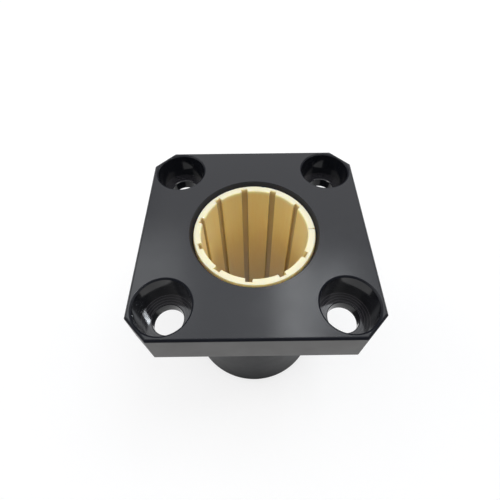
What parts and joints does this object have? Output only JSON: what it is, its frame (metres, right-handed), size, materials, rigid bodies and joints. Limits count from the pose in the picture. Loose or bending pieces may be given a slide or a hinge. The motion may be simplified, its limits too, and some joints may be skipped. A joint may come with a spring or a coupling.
{
  "type": "plastic linear bearing",
  "caption": "Square-flanged linear plain bearing: black anodised aluminium housing with counterbored screw holes and a split, grooved plastic liner that slides on a round shaft.",
  "frame": {"origin": "centre of the barrel's end face, on the shaft's axis", "axes": "+Z along the shaft's axis, from the barrel's end to the flange; X and Y square to the flange's sides, with the liner's slit near +X"},
  "size_m": [0.042, 0.042, 0.045],
  "materials": {
    "housing": "satin black anodised",
    "liner": "waxy cream, satin"
  },
  "bodies": {
    "root": {"flanged_housing": "housing", "slotted_liner": "liner"}
  },
  "joints": []
}
